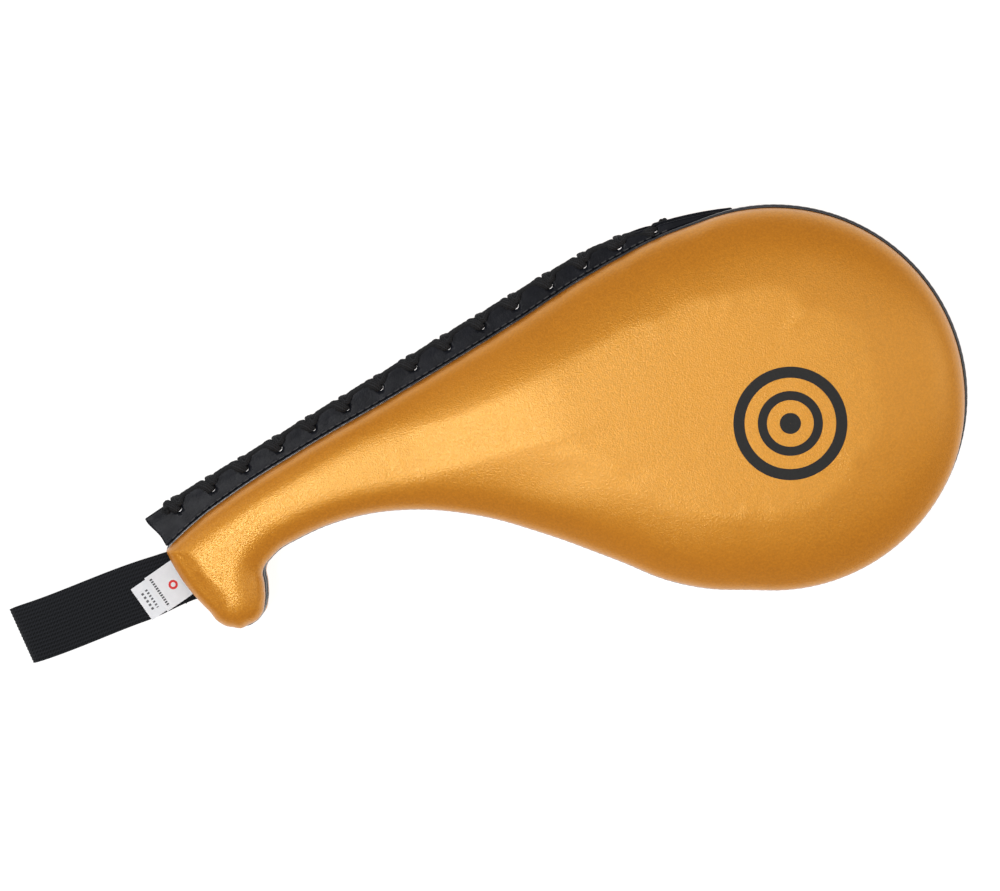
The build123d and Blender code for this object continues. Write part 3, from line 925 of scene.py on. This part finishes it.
def make_lace():
    """One flat lace through all the holes, with a small knot at each end beside its last wrap."""
    rows = []
    for i in range(len(HOLES)):
        rows += wrap_rows(i)
    along, out = hole_frame(0)
    start = HOLES[0] - along * KNOT_BESIDE + out * KNOT_OUT
    rows[:2] = [[*start, MIDDLE + 3.6 * MM, 0, 0, 1, 1.8 * MM, 1.6 * MM]]
    along, out = hole_frame(len(HOLES) - 1)
    end = HOLES[-1] + along * KNOT_BESIDE + out * KNOT_OUT
    rows[-6:] = [[*end, MIDDLE - 3.6 * MM, 0, 0, -1, 1.8 * MM, 1.6 * MM]]
    curve = spline(rows, 7)
    centres, faces, widths, thicks = curve[:, :3], unit(curve[:, 3:6]), curve[:, 6], curve[:, 7]
    ahead = unit(np.gradient(centres, axis=0))
    across = unit(np.cross(ahead, faces))
    up = np.cross(across, ahead)
    section = ellipse(1, 1, 20, 2.6)
    ribs = 1 + 0.06 * np.cos(5 * np.arctan2(section[:, 1], section[:, 0]) * 2)
    section = section * ribs[:, None]
    sections = section[None] * np.stack([widths, thicks], 1)[:, None, :]
    # The slanted weave makes the strand's outline uneven
    run = np.concatenate([[0], np.cumsum(np.linalg.norm(np.diff(centres, axis=0), axis=1))])
    sections *= (1 + 0.05 * np.sin(run / (0.45 * MM)))[:, None, None]
    lace = sweep("spine_lacing", centres, across, up, sections, LACE)
    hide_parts("spine_lace")
    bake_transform(lace)
    make_knot("heel_knot", start, MIDDLE + 3.9 * MM, hole_frame(0)[0], "heel_lace_knot", "front_blade")
    make_knot("head_knot", end, MIDDLE - 3.9 * MM, along, "head_lace_knot", "back_blade")


def make_knot(name, where, height, along, node, body):
    """A small overhand knot: a trefoil of the lace drawn tight."""
    t = np.linspace(0, 2 * math.pi, 72, endpoint=False)
    size = 0.58 * MM
    x, y, z = np.sin(t) + 2 * np.sin(2 * t), np.cos(t) - 2 * np.cos(2 * t), -1.1 * np.sin(3 * t)
    local = np.column_stack([x, y, z]) * size
    direction = np.array([*along, 0])
    sideways = np.array([-along[1], along[0], 0])
    centres = local[:, :1] * direction + local[:, 1:2] * sideways + local[:, 2:] * np.array([0, 0, 1])
    ahead = unit(np.roll(centres, -1, 0) - np.roll(centres, 1, 0))
    across = unit(np.cross(ahead, centres))
    up = np.cross(across, ahead)
    sections = np.repeat(ellipse(1.9 * MM, 1.3 * MM, 14)[None], len(t), 0)
    knot = sweep(name, centres + np.array([*where, height]), across, up, sections, LACE, closed=True)
    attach(knot, body)
    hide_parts(node)


make_lace()


# ---------------------------------------------------------------- wrist strap and labels

HEEL = np.array(JOINTS["strap_hinge"]["axis"])[:2]
STRAP_OUT = np.array([-HEEL[1], HEEL[0]])
STRAP_LOW, STRAP_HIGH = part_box("wrist_strap")
STRAP_LEVEL = JOINTS["strap_hinge"]["pos_m"][2]
STRAP_PIVOT = np.array(JOINTS["strap_hinge"]["pos_m"])[:2]
HEEL_SEAM = STRAP_PIVOT - STRAP_OUT * 3.35 * MM
FOLD_RADIUS = 6.3 * MM
STRAP_WIDTH = STRAP_HIGH.y - STRAP_LOW.y
STRAP_BEND = -4.0 * MM
STRAP_SWING = np.radians(6)
STRAP_RIB = 1.85 * MM
LAYER_APART = 0.8 * MM


def strap_line(root, sewn):
    """The loop from the side, as (x, z): out along the upper layer, round the fold and back."""
    fold_x, fold_z = STRAP_LOW.x + 4.2 * MM, STRAP_LOW.z + 7 * MM
    line = [(root, STRAP_LEVEL + LAYER_APART), (sewn, STRAP_LEVEL + LAYER_APART)]
    for share, lift in ((0.3, 0.5), (0.62, 0.2), (0.88, -0.1)):
        x = sewn + (fold_x - sewn) * share
        line.append((x, STRAP_LEVEL + (fold_z + FOLD_RADIUS - STRAP_LEVEL) * share + lift * MM))
    for turn in np.radians([90, 130, 170, 210, 250]):
        line.append((fold_x + FOLD_RADIUS * math.cos(turn), fold_z + FOLD_RADIUS * math.sin(turn)))
    for share, lift in ((0.88, 0.3), (0.6, -0.4), (0.3, -0.6)):
        x = sewn + (fold_x - sewn) * share
        line.append((x, STRAP_LEVEL + (fold_z - FOLD_RADIUS - STRAP_LEVEL) * share + lift * MM))
    line += [(sewn, STRAP_LEVEL - LAYER_APART), (root, STRAP_LEVEL - LAYER_APART)]
    return resample(spline(line, 12), 230, closed=False)


def strap_section():
    """A flat band with rounded ribs along both faces."""
    half = STRAP_WIDTH / 2
    y = np.linspace(-half + 0.2 * MM, half - 0.2 * MM, 97)
    z = (0.60 + 0.11 * np.cos(2 * math.pi * y / STRAP_RIB)) * MM
    top, low = np.column_stack([y, z]), np.column_stack([y[::-1], -z])
    ends = np.array([[half, 0.3 * MM], [half, -0.3 * MM]])
    return np.vstack([top, ends, low, -ends])


def make_strap():
    """A loop of ribbed elastic, its two ends sewn together at the heel."""
    root = STRAP_PIVOT[0] + 5.5 * MM
    line = strap_line(root, STRAP_LOW.x + 76 * MM)
    free = root - 18 * MM
    outward_share = smoothstep(0, 1, (free - line[:, 0]) / (free - STRAP_LOW.x))
    narrow = 1 - smoothstep(0, 28 * MM, root - line[:, 0])
    # The band bends and swings a little in its own plane, and is drawn narrower at the heel
    middle = (STRAP_LOW.y + STRAP_HIGH.y) / 2 + STRAP_BEND * outward_share + 1.4 * MM * narrow
    centres = np.column_stack([line[:, 0], middle, line[:, 1]])
    ahead = unit(np.gradient(centres, axis=0))
    swing = STRAP_SWING * outward_share
    across = np.column_stack([-np.sin(swing), np.cos(swing), np.zeros(len(line))])
    up = unit(np.cross(ahead, across))
    section = strap_section()
    sections = np.repeat(section[None], len(centres), 0)
    sections[:, :, 0] *= (1 - 0.09 * narrow)[:, None]
    strap = sweep("elastic_strap", centres, across, up, sections, ELASTIC, sharp_at=75, v=section[:, 0])
    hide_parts("wrist_strap")
    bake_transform(strap)


LABEL_THICK = 0.22 * MM
LABEL_CREASE = 3.6 * MM


def label_mesh(name, low, high, width, level, lift, material, depth):
    """A thin tape from low to high outward from the heel seam, centred on it, with a soft curl."""
    columns, rows = 22, 24
    points, uv_at = [], []
    for k in (0, 1):
        for i in range(columns + 1):
            for j in range(rows + 1):
                u, v = i / columns, j / rows
                reach = low + (high - low) * u
                flat = HEEL_SEAM + STRAP_OUT * reach + HEEL * (v - 0.5) * width
                curl = lift * (reach / depth) ** 2 + 0.25 * MM * math.sin(3.2 * v + 4 * reach / depth)
                points.append((*flat, level + curl * min(1, reach / (5 * MM)) + k * LABEL_THICK))
                uv_at.append((reach / depth, v))
    count = (columns + 1) * (rows + 1)
    faces = []
    for i in range(columns):
        for j in range(rows):
            a = i * (rows + 1) + j
            b, c, d = a + 1, a + rows + 2, a + rows + 1
            faces.append((a, b, c, d))
            faces.append((a + count, d + count, c + count, b + count))
    rim = [(i * (rows + 1), (i + 1) * (rows + 1)) for i in range(columns)]
    rim += [(columns * (rows + 1) + j, columns * (rows + 1) + j + 1) for j in range(rows)]
    rim += [((i + 1) * (rows + 1) + rows, i * (rows + 1) + rows) for i in reversed(range(columns))]
    rim += [(j + 1, j) for j in reversed(range(rows))]
    faces += [(a, b, b + count, a + count)[::-1] for a, b in rim]
    uv = [uv_at[i] for f in faces for i in f]
    return make_object(name, points, faces, material, sharp_at=50, uv=uv)


def make_labels():
    """The size label lies over the longer care label; both are sewn into the heel seam."""
    for node, (depth, width), material, lift in (
        ("care_label", CARE_LABEL, CARE_TAPE, -1.0),
        ("size_label", SIZE_LABEL, SIZE_TAPE, 0.5),
    ):
        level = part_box(node)[0].z
        depth, width = depth * MM, width * MM
        made = label_mesh(f"{node}_tape", LABEL_CREASE, depth, width, level, lift * MM, material, depth)
        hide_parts(node)
        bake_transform(made)
        root = label_mesh(f"{node}_root", -1.0 * MM, LABEL_CREASE, width, level, 0, material, depth)
        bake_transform(root)


make_strap()
make_labels()


# ---------------------------------------------------------------- printed target

PRINT_CENTRE = place(4.2, -12.9)
PRINT_RINGS = ((22.5, 28.0), (11.5, 16.0), (0.0, 5.2))  # Inner and outer radius, millimetres
PRINT_TURNS = 96
PRINT_LIFT = 0.10 * MM
PRINT_THICK = 0.16 * MM


def draped_ring(tree, side, low, high):
    """Points over a ring that lies just above a cover, its faces, and how many circles it has."""
    steps = max(3, int((high - low) / 1.2))
    radii = [low] + [low + (high - low) * (i + 1) / steps for i in range(steps)]
    rows = []
    for radius in radii:
        for turn in np.linspace(0, 2 * math.pi, PRINT_TURNS, endpoint=False):
            flat = PRINT_CENTRE + np.array([math.cos(turn), math.sin(turn)]) * max(radius, 0.05) * MM
            hit = tree.ray_cast(Vector((*flat, MIDDLE + side * 0.1)), Vector((0, 0, -side)))[0]
            rows.append((*flat, hit.z + side * PRINT_LIFT))
    return np.array(rows), strip_faces(len(radii), PRINT_TURNS), len(radii)


def make_prints():
    """Rings and a dot of printed film, lying on each cover."""
    for name, side in SIDES.items():
        cover = bpy.data.objects[f"{name}_cover_skin"].data
        tree = BVHTree.FromPolygons([v.co for v in cover.vertices], [p.vertices for p in cover.polygons])
        for k, (low, high) in enumerate(PRINT_RINGS):
            top, faces, circles = draped_ring(tree, side, low, high)
            count = len(top)
            faces += [tuple(i + count for i in reversed(f)) for f in faces]
            last = (circles - 1) * PRINT_TURNS
            for i in range(PRINT_TURNS):
                j = (i + 1) % PRINT_TURNS
                faces.append((last + i + count, last + j + count, last + j, last + i))
                faces.append((i, j, j + count, i + count))
            if side == 1:
                faces = [tuple(reversed(f)) for f in faces]
            points = np.vstack([top, top - np.array([0, 0, side * PRINT_THICK])])
            made = make_object(f"{name}_print_{k}", points, faces, FILM, sharp_at=60)
            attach(made, f"{name}_blade")


make_prints()


# ---------------------------------------------------------------- camera, light and floor

CAMERA_AIM = (*place(-136.7, 19.4), MIDDLE + 4 * MM)
CAMERA_AWAY = 1.9
CAMERA_WIDTH = 0.500
IMAGE_ROLL = math.radians(18)
TILT = math.radians(4.5)
TILT_TOWARDS = math.radians(58)
WORLD_STRENGTH = 0.38
FLOOR_GLOW = 0.86
FLOOR_HALF = 3.0


def make_camera():
    """A camera nearly straight above. Returns the picture's right and top directions on the floor."""
    right = Vector((math.cos(IMAGE_ROLL), -math.sin(IMAGE_ROLL), 0))
    top = Vector((math.sin(IMAGE_ROLL), math.cos(IMAGE_ROLL), 0))
    lean = right * math.cos(TILT_TOWARDS) + top * math.sin(TILT_TOWARDS)
    back = (Vector((0, 0, 1)) * math.cos(TILT) + lean * math.sin(TILT)).normalized()
    side = top.cross(back).normalized()
    up = back.cross(side)
    data = bpy.data.cameras.new("camera")
    data.sensor_width = 36
    data.lens = 36 * CAMERA_AWAY / CAMERA_WIDTH
    data.clip_end = 20
    camera = bpy.data.objects.new("camera", data)
    camera.location = Vector(CAMERA_AIM) + back * CAMERA_AWAY
    turn = Matrix((side, up, back)).transposed()
    camera.rotation_euler = turn.to_euler()
    bpy.context.scene.collection.objects.link(camera)
    bpy.context.scene.camera = camera
    return right, top


def make_light(name, where, aim, size, power):
    """A white square area light."""
    data = bpy.data.lights.new(name, "AREA")
    data.shape = "RECTANGLE"
    data.size = data.size_y = size
    data.energy = power
    made = bpy.data.objects.new(name, data)
    made.location = where
    made.rotation_euler = (Vector(aim) - Vector(where)).to_track_quat("-Z", "Y").to_euler()
    bpy.context.scene.collection.objects.link(made)


def make_stage():
    """Camera, lights, surroundings and the pale floor."""
    right, top = make_camera()
    aim = Vector(CAMERA_AIM)
    low, high = Vector((0, 0, 0.9)), Vector((0, 0, 1.5))
    make_light("key", aim + Vector((-0.43, -0.02, 1.5)), aim, 0.42, 10.3)
    make_light("left", aim + right * -1.3 + top * 0.5 + low, aim, 0.8, 3)
    make_light("right", aim + right * 1.3 + top * 0.2 + low, aim, 0.8, 3)
    make_light("top", aim + right * 0.55 + top * 0.1 + high, aim + right * 0.2, 0.8, 2.8)
    world = bpy.data.worlds.new("world")
    world.use_nodes = True
    background = world.node_tree.nodes["Background"].inputs
    background["Color"].default_value = (1, 1, 1, 1)
    background["Strength"].default_value = WORLD_STRENGTH
    bpy.context.scene.world = world
    pale = Look("pale_floor", (0.32, 0.32, 0.32), 0.9, Emission_Color=(1, 1, 1, 1),
                Emission_Strength=FLOOR_GLOW)
    corners = [(x * FLOOR_HALF, y * FLOOR_HALF, 0) for x, y in ((-1, -1), (1, -1), (1, 1), (-1, 1))]
    floor = make_object("floor", corners, [(0, 1, 2, 3)], pale.material)
    bpy.context.scene.view_settings.view_transform = "Standard"


make_stage()
